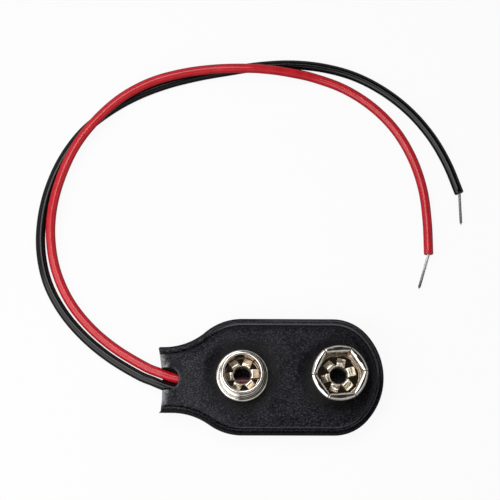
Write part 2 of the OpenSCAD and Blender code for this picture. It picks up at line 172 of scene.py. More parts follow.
class Looks(NodeMaker):
    """A material with a Principled shader, and the textures and marks that feed it."""

    def __init__(self, name, **sockets):
        self.material = bpy.data.materials.new(name)
        self.material.use_nodes = True
        super().__init__(self.material.node_tree)
        self.shader = self.nodes["Principled BSDF"]
        self.set(**sockets)
        self.place = self.add("TexCoord").outputs["Object"]

    def set(self, **sockets):
        """Feeds the shader's own sockets."""
        self.feed_named(self.shader, sockets)

    def noise(self, size, detail, roughness, place=None):
        """Noise whose lumps are about size millimetres wide."""
        node = self.add("TexNoise", Vector=place or self.place, Scale=1 / (size * MM), Detail=detail,
                        Roughness=roughness)
        return node.outputs["Fac"]

    def cell_edges(self, size, place):
        """Distance from the edges of cells that are about size millimetres wide."""
        node = self.add("TexVoronoi", Vector=place, Scale=1 / (size * MM))
        node.feature = "DISTANCE_TO_EDGE"
        return node.outputs["Distance"]

    def warped(self, size, reach):
        """The surface's own place, pushed about by up to reach millimetres in lumps of size."""
        warp = self.add("TexNoise", Vector=self.place, Scale=1 / (size * MM), Detail=2.0)
        shift = self.add("VectorMath", operation="SCALE", Vector=warp.outputs["Color"], Scale=reach * MM)
        return self.add("VectorMath", self.place, shift.outputs["Vector"], operation="ADD").outputs["Vector"]

    def stretched(self, place, scale, turn=0):
        """A place turned about Z by an angle in degrees, and scaled along each axis."""
        node = self.add("Mapping", Vector=place, Rotation=(0, 0, radians(turn)), Scale=scale)
        return node.outputs["Vector"]

    def span(self, value, low, high, to_low, to_high):
        """Maps low..high to to_low..to_high, clamped."""
        return self.add("MapRange", value, low, high, to_low, to_high).outputs["Result"]

    def spread(self, noise, to_low, to_high):
        """Maps the part of its range that noise fills to to_low..to_high."""
        return self.span(noise, NOISE_LOW, NOISE_HIGH, to_low, to_high)

    def blend(self, a, b, share):
        """Number between a and b, at a share of the way."""
        return self.plus(self.times(a, 1 - share), self.times(b, share))

    def bump(self, height, depth, strength):
        """Bump whose full height is depth millimetres."""
        return self.add("Bump", Height=height, Distance=depth * MM, Strength=strength).outputs["Normal"]

    def mix(self, share, a, b):
        """Colour between a and b."""
        node = self.add("Mix", share)
        node.data_type = "RGBA"
        self.feed(node.inputs[6], a)
        self.feed(node.inputs[7], b)
        return node.outputs[2]

    def attribute(self, name):
        """A value kept at the mesh's points."""
        node = self.add("Attribute")
        node.attribute_name = name
        return node.outputs["Fac"]

    def tint_by_value(self, colour, name, share, tinted):
        """The colour, changed towards another by a share of a value kept at the mesh's points."""
        return self.mix(self.times(self.attribute(name), share), colour, tinted)


# Leatherette: a noise is its size, detail and roughness, and a tint is a mark, its share and its colour; the
# rim, terminal and line tints paint shade and highlight into the colour
LEATHER_SHINE = 0.16
WARP = (0.9, 0.35)
GRAIN_TURN = 30
GRAIN_SCALE = (1.0, 1.7, 1.0)
PEBBLE_SIZE = 0.44
PEBBLE_EDGE = 0.3
PEBBLE_SHARE = 0.4
DASHES = (0.3, 2.0, 0.55)
DASH_SHARE = 0.5
FINE = (0.1, 3.0, 0.6)
FINE_SHARE = 0.25
BROAD = (1.4, 2.0, 0.5)
BROAD_TONE = 0.15
BROAD_GLOSS = 0.4
GRAIN_BUMP = (0.04, 1.0)
LEATHER_ROUGH = (0.28, 0.4)
LEATHER_TONES = [(0.32, (0.0004, 0.0004, 0.001)), (0.52, (0.002, 0.0018, 0.0036)),
                 (0.78, (0.034, 0.034, 0.047))]
# Painted shade on the rim band outside the weld, where the band also has smoother grain
RIM_SHADE_TINT = ("margin", 0.8, (0.001, 0.001, 0.0012, 1))
# Painted shade round the terminals' feet, darkest at a foot's edge
TERMINAL_SHADE_TINT = ("pressed", 0.85, (0.0006, 0.0006, 0.0009, 1))
# Painted highlight lines along the weld, the far rim and the notch
HIGHLIGHT_LINE_TINT = ("highlight_lines", 0.6, (0.13, 0.13, 0.14, 1))
# Painted highlight at the tail's cut end, speckled by the fine noise
TAIL_HIGHLIGHT_GREY = (0.36, 0.365, 0.37, 1)
SPECKLE = (0.44, 0.58, 0.1, 1.0)
RIM_POLISH = 0.1
CUT_ROUGH = 0.5
WELD_FLAT = 0.8
MARGIN_FLAT = 0.7


def leatherette():
    """Grained black vinyl, smooth along the weld, with painted shade on the rim band and round the
    terminals, and painted highlight along the weld and at the cut end of the tail.
    """
    look = Looks("black_leatherette", Specular_IOR_Level=LEATHER_SHINE)
    along = look.stretched(look.warped(*WARP), GRAIN_SCALE, GRAIN_TURN)
    pebbles = look.span(look.cell_edges(PEBBLE_SIZE, along), 0.0, PEBBLE_EDGE, 0.0, 1.0)
    dashes = look.spread(look.noise(*DASHES, along), 0.0, 1.0)
    fine = look.noise(*FINE)
    broad = look.noise(*BROAD)
    grain = look.plus(look.times(pebbles, PEBBLE_SHARE), look.times(fine, FINE_SHARE))
    grain = look.plus(grain, look.times(dashes, DASH_SHARE))
    colour = look.ramp(look.blend(grain, broad, BROAD_TONE), LEATHER_TONES)
    # Painted shade: darker on the rim band and round the terminals' feet
    colour = look.tint_by_value(look.tint_by_value(colour, *RIM_SHADE_TINT), *TERMINAL_SHADE_TINT)
    # Painted highlight, speckled, on the lip at the tail's cut end
    speckle = look.times(look.attribute("tail_highlight"), look.span(fine, *SPECKLE))
    # Painted highlight lines along the weld groove, the far rim and the notch
    colour = look.tint_by_value(look.mix(speckle, colour, TAIL_HIGHLIGHT_GREY), *HIGHLIGHT_LINE_TINT)
    weld = look.attribute("weld")
    margin = look.attribute("margin")
    rough = look.spread(look.blend(fine, broad, BROAD_GLOSS), *LEATHER_ROUGH)
    rough = look.less(rough, look.times(look.plus(weld, margin), RIM_POLISH))
    rough = look.plus(rough, look.times(look.attribute("cut_edge"), CUT_ROUGH))
    height = look.times(grain, look.less(1.0, look.times(weld, WELD_FLAT)))
    height = look.times(height, look.less(1.0, look.times(margin, MARGIN_FLAT)))
    look.set(Base_Color=colour, Roughness=rough, Normal=look.bump(height, *GRAIN_BUMP))
    return look.material


# Plated metal
STAINS = (0.7, 4.0, 0.6)
POLISH = (0.09, 2.0, 0.5)
POLISH_SHARE = 0.4
DRAW_MARKS = (0.25, 3.0, 0.6)
DRAW_STRENGTH = 0.5
PLATE_LIGHT_AT = 0.62
TARNISH = ("tarnish", 0.8, (0.27, 0.19, 0.13, 1))


def plated(name, dark, light, rough, wear, metal=1.0):
    """Plated metal with faint draw marks and uneven gloss, brown where the mesh keeps tarnish."""
    look = Looks(name, Metallic=metal)
    stains = look.noise(*STAINS)
    gloss = look.blend(stains, look.noise(*POLISH), POLISH_SHARE)
    colour = look.ramp(stains, [(NOISE_LOW, dark), (PLATE_LIGHT_AT, light)])
    look.set(Base_Color=look.tint_by_value(colour, *TARNISH), Roughness=look.spread(gloss, *rough),
              Normal=look.bump(look.noise(*DRAW_MARKS), wear, DRAW_STRENGTH))
    return look.material


# Insulation: painted shade darkens it from the notch inwards, below the loop of the free leads, where it
# lies in the shade inside the pad
IN_PAD_SHADE_X = (-15.5 * MM, -13 * MM)
IN_PAD_SHADE_Y = (8 * MM, 9 * MM)
IN_PAD_SHADE_SHARE = 0.86
IN_PAD_SHADE_COLOUR = (0.05, 0.03, 0.042, 1)
CLOUDS = (1.1, 3.0, 0.55)
SKIN = (0.12, 3.0, 0.6)
SKIN_BUMP = (0.005, 0.5)


def insulation(name, dark, light, rough, shine):
    """Extruded vinyl: slightly uneven colour and gloss, with painted shade inside the pad."""
    look = Looks(name, Specular_IOR_Level=shine)
    skin = look.noise(*SKIN)
    place = look.add("SeparateXYZ", Vector=look.place).outputs
    past_notch = look.span(place["X"], *IN_PAD_SHADE_X, 0.0, IN_PAD_SHADE_SHARE)
    below_loop = look.span(place["Y"], *IN_PAD_SHADE_Y, 1.0, 0.0)
    clean = look.ramp(look.noise(*CLOUDS), [(NOISE_LOW, dark), (NOISE_HIGH, light)])
    # Painted shade: the lead's colour goes dark and dull from the notch inwards, where it is seen only down
    # the eyelet bores
    look.set(Base_Color=look.mix(look.times(past_notch, below_loop), clean, IN_PAD_SHADE_COLOUR),
              Roughness=look.spread(skin, *rough), Normal=look.bump(skin, *SKIN_BUMP))
    return look.material


# Tinned strands
TIN_TONES = [(0.15, (0.80, 0.79, 0.78)), (0.6, (0.42, 0.415, 0.41)), (1.0, (0.16, 0.155, 0.15))]
TIN_ROUGH = (0.26, 0.45)
MOTTLE = (0.3, 4.0, 0.6)
MOTTLE_SHARE = 0.35
MOTTLE_BUMP = (0.01, 0.5)


def tinned_strands():
    """Tin that darkens towards the far end of the wire, by the mesh's own scorch values."""
    look = Looks("tinned_strands", Metallic=1.0)
    mottle = look.noise(*MOTTLE)
    dull = look.plus(look.attribute("scorch"), look.times(mottle, MOTTLE_SHARE))
    look.set(Base_Color=look.ramp(dull, TIN_TONES), Roughness=look.spread(mottle, *TIN_ROUGH),
              Normal=look.bump(mottle, *MOTTLE_BUMP))
    return look.material


# Fibre board
BOARD_TONES = [(NOISE_LOW, (0.16, 0.09, 0.045)), (NOISE_HIGH, (0.30, 0.19, 0.10))]
BOARD_ROUGH = 0.8
FIBRES = (1.5, 4.0, 0.6)
FIBRE_SCALE = (1.0, 6.0, 6.0)
FIBRE_BUMP = (0.02, 0.6)


def fibre_board():
    """Brown compressed board with streaks of fibre along X."""
    look = Looks("brown_fibre_board", Roughness=BOARD_ROUGH)
    streaks = look.noise(*FIBRES, look.stretched(look.place, FIBRE_SCALE))
    look.set(Base_Color=look.ramp(streaks, BOARD_TONES), Normal=look.bump(streaks, *FIBRE_BUMP))
    return look.material


leather_look = leatherette()
nickel_look = plated("bright_nickel", (0.5, 0.465, 0.41), (0.75, 0.72, 0.67), (0.04, 0.09), 0.004)
eyelet_look = plated("champagne_eyelet", (0.58, 0.49, 0.36), (0.90, 0.84, 0.72), (0.16, 0.32), 0.02, 0.85)
solder_look = plated("dull_solder", (0.40, 0.40, 0.41), (0.62, 0.62, 0.64), (0.3, 0.5), 0.012)
red_look = insulation("red_vinyl", (0.43, 0.0075, 0.0145), (0.54, 0.013, 0.023), (0.15, 0.25), 0.4)
black_look = insulation("black_vinyl", (0.0008, 0.0008, 0.0012), (0.0028, 0.0028, 0.004), (0.13, 0.22), 0.3)
tin_look = tinned_strands()
board_look = fibre_board()
for node, look in (("carrier_board", board_look), ("stud_solder_joint", solder_look),
                   ("socket_solder_joint", solder_look)):
    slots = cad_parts[node].data.materials
    slots.clear()
    slots.append(look)


# Mesh helpers
def add_piece(name, data, look, node):
    """An object that rides on the part, takes the finish of a slot and stands for a CAD node."""
    data.materials.append(look)
    piece = new_object(name, data)
    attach(piece, "root")
    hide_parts(node)
    return piece


def make_piece(name, points, faces, look, node, sharp_angle):
    """A mesh piece, smooth except at edges that turn by more than an angle in degrees."""
    mesh = bpy.data.meshes.new(name)
    mesh.from_pydata([tuple(MM * c for c in p) for p in points], [], faces)
    mesh.validate()
    work = bmesh.new()
    work.from_mesh(mesh)
    bmesh.ops.recalc_face_normals(work, faces=work.faces)
    work.to_mesh(mesh)
    work.free()
    mesh.shade_smooth()
    mesh.set_sharp_from_angle(angle=radians(sharp_angle))
    return add_piece(name, mesh, look, node)


def points_of(piece):
    """A mesh piece's points, in millimetres."""
    return np.array([v.co for v in piece.data.vertices]) / MM


def keep_values(piece, name, values):
    """Keeps a number at each of a piece's points, for its material to read."""
    kept = piece.data.attributes.new(name, "FLOAT", "POINT")
    kept.data.foreach_set("value", np.asarray(values, np.float32))


class Shape:
    """Points and faces that several closed solids are gathered in."""

    def __init__(self):
        self.points = []
        self.faces = []

    def skin(self, rows, ring=False):
        """Quads over rows of points, each a closed loop. The rows form a ring, or their ends are capped."""
        count = len(rows[0])
        faces = []
        for i in range(len(rows) if ring else len(rows) - 1):
            a = i * count
            b = (i + 1) % len(rows) * count
            for j in range(count):
                k = (j + 1) % count
                faces.append((a + j, b + j, b + k, a + k))
        if not ring:
            last = (len(rows) - 1) * count
            faces.append(range(count))
            faces.append(range(last + count - 1, last - 1, -1))
        start = len(self.points)
        self.points += [p for row in rows for p in row]
        self.faces += [tuple(start + i for i in face) for face in faces]

    def lathe(self, profile, centre_x, steps):
        """Turns a closed profile of (radius, height) round a vertical axis."""
        turns = [2 * pi * i / steps for i in range(steps)]
        self.skin([[(centre_x + r * cos(t), r * sin(t), z) for r, z in profile] for t in turns], ring=True)


def arc(centre, radius, start, end, steps):
    """Points on an arc in a plane, from angle start to angle end in degrees."""
    turns = [radians(start + (end - start) * i / steps) for i in range(steps + 1)]
    return [(centre[0] + radius * cos(t), centre[1] + radius * sin(t)) for t in turns]


def ease(t):
    """Rises smoothly from 0 to 1 as t does."""
    u = np.clip(t, 0, 1)
    return u * u * (3 - 2 * u)


def rising(values, start, length):
    """0 up to the start, rising smoothly to 1 over a length."""
    return ease((values - start) / length)


def falling(values, end, length):
    """Falls smoothly from 1 to 0 over a length, and is 0 from the end on."""
    return ease((end - values) / length)


def band(values, middle, half):
    """1 where the values are at the middle, falling softly to 0 on both sides."""
    return np.exp(-((values - middle) / half) ** 2)


# Leads: the routes of the part, from inside the pad to the end of the insulation
LEAD_D = 1.3
CORE_D = 0.38
SHEET_T = 0.45
LEAD_GAP = 0.05
floor_z = LEAD_D / 2
pad_z = SHEET_T + LEAD_GAP + LEAD_D / 2
over_h = LEAD_D + LEAD_GAP


def lead_route(in_pad, outside):
    """Points (x, y) inside the pad, then (x, y, share of the way up from the floor onto the other lead)."""
    inner = [(x, y, pad_z) for x, y in in_pad]
    return inner + [(x, y, floor_z + share * over_h) for x, y, share in outside]


black_route = lead_route(
    [(-9.3, -1.95), (-12.2, -1.95), (-14.4, -1.72), (-16.2, -1.28)],
    [(-18.2, -0.48, 0.36), (-20.2, 0.4, 0.15), (-24.05, 2.73, 0.02), (-27.58, 5.62, 0), (-30.52, 9.02, 0),
     (-32.7, 13.03, 0), (-33.74, 17.5, 0), (-33.72, 22, 0), (-32.82, 26.4, 0), (-31.1, 30.6, 0),
     (-28.5, 34.4, 0), (-25.15, 37.35, 0), (-21.27, 39.74, 0), (-17.06, 41.5, 0), (-12.68, 42.72, 0),
     (-8.3, 43.58, 0), (-3.8, 44.34, 0), (0.8, 44.6, 0), (5.3, 44.13, 0), (9.62, 42.87, 0),
     (13.64, 40.66, 0), (17.13, 37.73, 0), (20, 34.17, 0), (22.13, 30.22, 0), (23.72, 25.9, 0)])
red_route = lead_route(
    [(2.6, -0.6), (-1.8, -0.58), (-6.3, -0.55), (-10.8, -0.5), (-13.6, -0.35), (-15.6, 0.05)],
    [(-17.4, 0.7, 0.38), (-19.4, 1.58, 0.16), (-23.45, 4.05, 0.03), (-26.95, 7.05, 0.01),
     (-29.77, 10.66, 0.01), (-31.66, 14.88, 0.05), (-32.44, 19.4, 0.3), (-32.17, 23.8, 0.65),
     (-30.94, 28.28, 0.9), (-29.07, 32.38, 1), (-26.35, 36.05, 1), (-22.98, 39.17, 1), (-19, 41.42, 1),
     (-14.59, 42.74, 1), (-10, 43.4, 1), (-5.4, 43.54, 1), (-2.39, 43.46, 0.78), (0.24, 43.26, 0.4),
     (3.71, 42.65, 0.06), (8.02, 41.03, 0), (11.91, 38.42, 0), (15.06, 35.02, 0), (17.3, 30.95, 0),
     (18.66, 26.45, 0), (19.14, 21.82, 0), (19.2, 17.2, 0)])

# Bare ends: heading in degrees, length, and how dull the tin is at the insulation and at the tip
RED_TIP = (-107, 4.9, (0.0, 0.95))
BLACK_TIP = (-89, 4.35, (0.55, 0.85))

# Where the conductors are soldered, on the eyelet flanges
STUD_JOINT = (stud_x - 0.65, -1.95)
SOCKET_JOINT = (socket_x - 1.8, -0.35)
SOLDER_UNDER = 0.08

# Insulation: points on each span of its route, sides of its section, and its rounded end
LEAD_STEPS = 6
LEAD_ROUNDNESS = 7
END_BACK = (0.14, 0.05)
END_SIZES = (0.95, 0.8)


def smooth_route(route, per_span):
    """Points on a Catmull-Rom curve through the route."""
    p = np.array(route, float)
    p = np.vstack([2 * p[0] - p[1], p, 2 * p[-1] - p[-2]])
    points = []
    for i in range(1, len(p) - 2):
        a, b, c, d = p[i - 1:i + 3]
        for t in np.arange(per_span) / per_span:
            points.append(0.5 * (2 * b + (c - a) * t + (2 * a - 5 * b + 4 * c - d) * t * t
                                 + (3 * b - a - 3 * c + d) * t ** 3))
    points.append(p[-2])
    return np.array(points)


def make_lead(name, route, look, node):
    """Round insulation along the route, as a curve with one open spline, and its points."""
    points = smooth_route(route, LEAD_STEPS)
    way = (points[-1] - points[-2]) / np.linalg.norm(points[-1] - points[-2])
    points = np.vstack([points[:-1], [points[-1] - back * way for back in END_BACK], points[-1:]])
    sizes = [1.0] * (len(points) - len(END_SIZES)) + list(END_SIZES)
    curve = bpy.data.curves.new(name, "CURVE")
    curve.dimensions = "3D"
    curve.bevel_depth = LEAD_D / 2 * MM
    curve.bevel_resolution = LEAD_ROUNDNESS
    curve.use_fill_caps = True
    spline = curve.splines.new("POLY")
    spline.points.add(len(points) - 1)
    for place, point, size in zip(spline.points, points, sizes):
        place.co = (*(point * MM), 1)
        place.radius = size
    spline.use_smooth = True
    return add_piece(name, curve, look, node), points


# Conductors: a rod inside the insulation, then strands with one of them in the middle
ROD_STEPS = 3
STRANDS = 7
STRAND_PITCH = 3.2
STRAND_SIDES = 8
STRAND_STEPS = 46
STRAND_INSIDE = 0.25
STRAND_TIP = 0.45
STRAND_UNEVEN = 0.035
HAIR_L = 0.15
CLEAN_SHARE = 0.1
STRANDS_ACROSS = 3
STRAND_SWELL = 1.08
strand_r = CORE_D / 2 / STRANDS_ACROSS * STRAND_SWELL


def tube_rows(path, sizes):
    """Rings of a tube along a path, with a radius at each of its points."""
    turns = [2 * pi * k / STRAND_SIDES for k in range(STRAND_SIDES)]
    rows = []
    for i, (point, size) in enumerate(zip(path, sizes)):
        way = path[min(i + 1, len(path) - 1)] - path[max(i - 1, 0)]
        way = way / np.linalg.norm(way)
        across = np.cross((0.0, 0.0, 1.0), way)
        across /= np.linalg.norm(across)
        over = np.cross(way, across)
        rows.append([tuple(point + size * (cos(t) * across + sin(t) * over)) for t in turns])
    return rows


def strand_path(strand, start, way, length):
    """Points of one strand of the twist, the last of which runs straight and a hair longer."""
    across = np.array((-way[1], way[0], 0.0))
    over = np.array((0.0, 0.0, 1.0))
    straight = strand == STRANDS - 1
    out = 0.0 if straight else CORE_D / 2 - strand_r
    end = length + HAIR_L if straight else length * (1 - STRAND_UNEVEN * (strand * 3 % 5) / 4)
    s = end * np.arange(STRAND_STEPS + 1)[:, None] / STRAND_STEPS
    turn = 2 * pi * (s / STRAND_PITCH + strand / (STRANDS - 1))
    return start + s * way + out * (np.cos(turn) * across + np.sin(turn) * over)


def make_conductor(name, route, joint, tip, node):
    """Tinned conductor: a rod inside the insulation, and twisted strands at the bare end."""
    angle, bare, scorch = tip
    shape = Shape()
    rod = [np.array((*joint, flange_z - CORE_D / 2 - SOLDER_UNDER))] + list(smooth_route(route, ROD_STEPS))
    shape.skin(tube_rows(rod, [CORE_D / 2] * len(rod)))
    rod_points = len(shape.points)
    way = np.array((cos(radians(angle)), sin(radians(angle)), 0.0))
    start = np.array(route[-1], float) - STRAND_INSIDE * way
    sizes = [strand_r] * STRAND_STEPS + [strand_r * STRAND_TIP]
    for strand in range(STRANDS):
        shape.skin(tube_rows(strand_path(strand, start, way, bare + STRAND_INSIDE), sizes))
    piece = make_piece(name, shape.points, shape.faces, tin_look, node, sharp_angle=50)
    along = (points_of(piece) - np.array(route[-1])) @ way
    dull = scorch[0] + (scorch[1] - scorch[0]) * np.clip(along / bare - CLEAN_SHARE, 0, 1)
    keep_values(piece, "scorch", np.where(np.arange(len(along)) < rod_points, 0, dull))
    return piece


red_lead, red_points = make_lead("red_insulation", red_route, red_look, "red_lead")
black_lead, black_points = make_lead("black_insulation", black_route, black_look, "black_lead")
red_wire = make_conductor("red_strands", red_route, SOCKET_JOINT, RED_TIP, "red_conductor")
black_wire = make_conductor("black_strands", black_route, STUD_JOINT, BLACK_TIP, "black_conductor")


# Pad outline, in the part's own sizes
PAD_W = 15.5
END_REACH = 6.1
END_R = 8.6
CORNER_R = 6.0
SHOULDER_R = 7.5
NECK_R = 8.5
TAIL_W = 8.7
TAIL_REACH = 10.9
TAIL_HOLLOW = 0.35
TAIL_SET = -0.45
HOLLOW_SET = -1.2
NOTCH_W = 3.0
NOTCH_L = 2.2
NOTCH_SET = 0.15
ARC_STEPS = 40
TAIL_STEPS = 60
half_w = PAD_W / 2
end_x = socket_x + END_REACH
tail_x = stud_x - TAIL_REACH
tail_mid_x = tail_x + TAIL_HOLLOW
end_cx = end_x - END_R
corner_y = half_w - CORNER_R
corner_x = end_cx + sqrt((END_R - CORNER_R) ** 2 - corner_y ** 2)
end_angle = atan2(corner_y, corner_x - end_cx)
tail_arc_r = ((TAIL_W / 2) ** 2 + TAIL_HOLLOW ** 2) / (2 * TAIL_HOLLOW)
notch_cx = tail_mid_x + NOTCH_L - NOTCH_W / 2
notch_cy = TAIL_SET + NOTCH_SET


def tail_edge_x(y):
    """Where the hollow end edge of the tail lies."""
    return tail_mid_x - tail_arc_r + np.sqrt(tail_arc_r ** 2 - (y - TAIL_SET - HOLLOW_SET) ** 2)


def spaced(points, step):
    """The same line with points about step apart."""
    points = np.array(points, float)
    run = np.concatenate([[0], np.cumsum(np.linalg.norm(np.diff(points, axis=0), axis=1))])
    count = max(2, int(round(run[-1] / step)) + 1)
    at = np.linspace(0, run[-1], count)
    return np.column_stack([np.interp(at, run, points[:, k]) for k in range(2)])


def side_line(side, inset, start_x):
    """One side of the outline moved in by inset, from start_x on the tail to the round end's middle."""
    tail_half = TAIL_W / 2 + side * TAIL_SET
    neck_turn = acos(1 - (half_w - tail_half) / (SHOULDER_R + NECK_R))
    neck_x = stud_x - (SHOULDER_R + NECK_R) * sin(neck_turn)
    neck_r = NECK_R + inset
    shoulder_r = SHOULDER_R - inset
    corner_r = CORNER_R - inset
    end_r = END_R - inset
    turns = np.linspace(0, 1, ARC_STEPS)
    line = [(start_x, tail_half - inset)]
    line += [(neck_x + neck_r * sin(t), tail_half + NECK_R - neck_r * cos(t)) for t in neck_turn * turns]
    line += [(stud_x - shoulder_r * sin(t), half_w - SHOULDER_R + shoulder_r * cos(t))
             for t in neck_turn * (1 - turns[1:])]
    line += [(corner_x + corner_r * cos(t), corner_y + corner_r * sin(t))
             for t in pi / 2 + (end_angle - pi / 2) * turns]
    line += [(end_cx + end_r * cos(t), end_r * sin(t)) for t in end_angle * (1 - turns[1:])]
    return [(x, side * y) for x, y in line]


def rim_line(inset, step, start_x):
    """The outline moved in by inset, from the lower tail corner round to the upper one."""
    lower = side_line(-1, inset, start_x)
    upper = side_line(1, inset, start_x)
    return spaced(lower + upper[-2::-1], step)


def notch_line(step):
    """The notch edge, from its upper mouth corner round to its lower one."""
    top = notch_cy + NOTCH_W / 2
    bottom = notch_cy - NOTCH_W / 2
    turn = arc((notch_cx, notch_cy), NOTCH_W / 2, 90, -90, ARC_STEPS)
    line = [(float(tail_edge_x(top)), top)] + turn + [(float(tail_edge_x(bottom)), bottom)]
    return spaced(line, step)


def tail_line(y_from, y_to, step):
    """A stretch of the end edge of the tail."""
    ys = np.linspace(y_from, y_to, TAIL_STEPS)
    return spaced(np.column_stack([tail_edge_x(ys), ys]), step)


def pad_loop(step, with_notch):
    """Closed boundary of a sheet, counter-clockwise."""
    rim = rim_line(0, step, tail_x)
    upper_y = rim[-1][1]
    lower_y = rim[0][1]
    if not with_notch:
        return np.vstack([rim, tail_line(upper_y, lower_y, step)[1:-1]])
    notch = notch_line(step)
    return np.vstack([rim, tail_line(upper_y, notch[0][1], step)[1:], notch[1:],
                      tail_line(notch[-1][1], lower_y, step)[1:-1]])


# Points of the sheets: lines that follow the edges, close together there, and a grid between them
HOLE_R = 1.35
HOLE_STEPS = 60
HOLE_GAP = 0.06
HOLE_SLACK = 0.995
NOTCH_STEPS = 30
EDGE_STEP = 0.16
RIM_STEP = EDGE_STEP * 1.15
FILL_STEP = 0.24
RIM_INSETS = (0.05, 0.11, 0.18, 0.27, 0.4, 0.54, 0.66, 0.74, 0.8, 0.85, 0.9, 0.96, 1.04, 1.15, 1.3,
              1.5, 1.72, 1.95, 2.2)
CUT_INSETS = (0.05, 0.11, 0.19, 0.3)
EDGE_GAP = 0.03
CUT_GAP = 0.36
FILL_GAP = 2.3
DENSE_RIM_STEP = 0.08
DENSE_CUT_STEP = 0.05
CHUNK = 1500
SAME_POINT = 1e-6
DENSE_PAST_TAIL = 3
LINES_PAST_TAIL = 1
SOFT_STEPS = 9
rim_dense = rim_line(0, DENSE_RIM_STEP, tail_x - DENSE_PAST_TAIL)


def distance_to(points, line):
    """Distance of each point to the nearest point of a dense line."""
    parts = np.array_split(points, len(points) // CHUNK + 1)
    return np.sqrt(np.concatenate([((part[:, None] - line) ** 2).sum(2).min(1) for part in parts]))


def inside(points, loop):
    """Whether each point is inside a closed loop, by crossings."""
    x, y = points.T
    found = np.zeros(len(points), bool)
    for (x0, y0), (x1, y1) in zip(loop, np.roll(loop, -1, axis=0)):
        if y0 != y1:
            found ^= ((y0 > y) != (y1 > y)) & (x < (x1 - x0) * (y - y0) / (y1 - y0) + x0)
    return found


def off_holes(points, radius):
    """Whether each point is further than a radius from both terminals' axes."""
    gaps = [np.hypot(points[:, 0] - x, points[:, 1]) for x in (stud_x, socket_x)]
    return np.minimum(*gaps) > radius


def cut_points(with_notch):
    """Points on lines that follow the end edge of the tail, and the notch where there is one."""
    ys = np.arange(-TAIL_W / 2, TAIL_W / 2, EDGE_STEP) + TAIL_SET
    xs = np.arange(tail_mid_x, notch_cx, EDGE_STEP)
    turn = np.linspace(-pi / 2, pi / 2, NOTCH_STEPS)
    lines = []
    for inset in CUT_INSETS:
        lines.append(np.column_stack([tail_edge_x(ys) + inset, ys]))
        if with_notch:
            wide = NOTCH_W / 2 + inset
            lines.append(np.column_stack([notch_cx + wide * np.cos(turn), notch_cy + wide * np.sin(turn)]))
            lines += [np.column_stack([xs, 0 * xs + notch_cy + s * wide]) for s in (-1, 1)]
    return np.vstack(lines)


def fill_points():
    """Points of a triangular grid over the pad's box."""
    rows = np.arange(-half_w, half_w, FILL_STEP * sqrt(3) / 2)
    return np.array([(x + (i % 2) * FILL_STEP / 2, y) for i, y in enumerate(rows)
                     for x in np.arange(tail_x, end_x, FILL_STEP)])


def sheet_points(opened):
    """Points of a sheet in plan with its triangles, and their distances from the rim and the cut edges.

    An opened sheet has the notch and the two terminal holes.
    """
    loops = [pad_loop(EDGE_STEP, opened)]
    cut = [tail_line(half_w, -half_w, DENSE_CUT_STEP)]
    if opened:
        turns = np.linspace(0, 2 * pi, HOLE_STEPS, endpoint=False)
        loops += [np.column_stack([x + HOLE_R * np.cos(turns), HOLE_R * np.sin(turns)])
                  for x in (stud_x, socket_x)]
        cut.append(notch_line(DENSE_CUT_STEP))
    cut = np.vstack(cut)
    along_rim = np.vstack([rim_line(inset, RIM_STEP, tail_x - LINES_PAST_TAIL) for inset in RIM_INSETS])
    wanted = []
    along_cut = cut_points(opened)
    for group, rim_gap, cut_gap in ((along_rim, EDGE_GAP, CUT_GAP), (along_cut, 0, EDGE_GAP),
                                    (fill_points(), FILL_GAP, CUT_GAP)):
        group = group[inside(group, loops[0])]
        keep = (distance_to(group, rim_dense) > rim_gap) & (distance_to(group, cut) > cut_gap)
        if opened:
            keep &= off_holes(group, HOLE_R + HOLE_GAP)
        wanted.append(group[keep])
    edges = []
    start = 0
    for loop in loops:
        edges += [(start + i, start + (i + 1) % len(loop)) for i in range(len(loop))]
        start += len(loop)
    places = [Vector(p) for p in np.vstack(loops + wanted)]
    found = geometry.delaunay_2d_cdt(places, edges, [], 1, SAME_POINT)
    points = np.array([tuple(p) for p in found[0]])
    triangles = np.array([f for f in found[2] if len(f) == 3])
    middles = points[triangles].mean(1)
    keep = inside(middles, loops[0])
    if opened:
        keep &= off_holes(middles, HOLE_R * HOLE_SLACK)
    return points, triangles[keep], distance_to(points, rim_dense), distance_to(points, cut)


def boundary_edges(triangles):
    """Directed edges that only one triangle uses."""
    seen = dict.fromkeys(edge for a, b, c in triangles for edge in ((a, b), (b, c), (c, a)))
    return [edge for edge in seen if edge[::-1] not in seen]


def make_sheet(name, points, triangles, top, bottom, values, node):
    """Closed sheet between a top and a bottom height at each point, which keeps named values there."""
    count = len(points)
    solid = [(*p, z) for p, z in zip(points, top)] + [(*p, z) for p, z in zip(points, bottom)]
    triangles = triangles.tolist()
    faces = triangles + [[count + i for i in reversed(t)] for t in triangles]
    faces += [(a, count + a, count + b, b) for a, b in boundary_edges(triangles)]
    piece = make_piece(name, solid, faces, leather_look, node, sharp_angle=55)
    for value_name, numbers in values.items():
        keep_values(piece, value_name, np.concatenate([numbers, numbers]))


def soft_table(x, places, values, softness):
    """Values between the table's places, rounded off over a softness."""
    shifts = np.linspace(-1, 1, SOFT_STEPS) * softness
    return np.mean([np.interp(x + shift, places, values) for shift in shifts], axis=0)


def rounding(gap, size):
    """Share of its height that a rounded edge has lost, at a gap from it."""
    return 1 - np.sqrt(1 - (1 - np.clip(gap / size, 0, 1)) ** 2)


def ripple(points, waves):
    """Soft lumps: a sum of plane waves (length in mm, heading in degrees, phase, height)."""
    total = np.zeros(len(points))
    for length, heading, phase, height in waves:
        along = points[:, 0] * cos(radians(heading)) + points[:, 1] * sin(radians(heading))
        total += height * np.sin(2 * pi * along / length + phase)
    return total


def across(pair, far):
    """Value between the near side's and the far side's."""
    return pair[0] + (pair[1] - pair[0]) * far


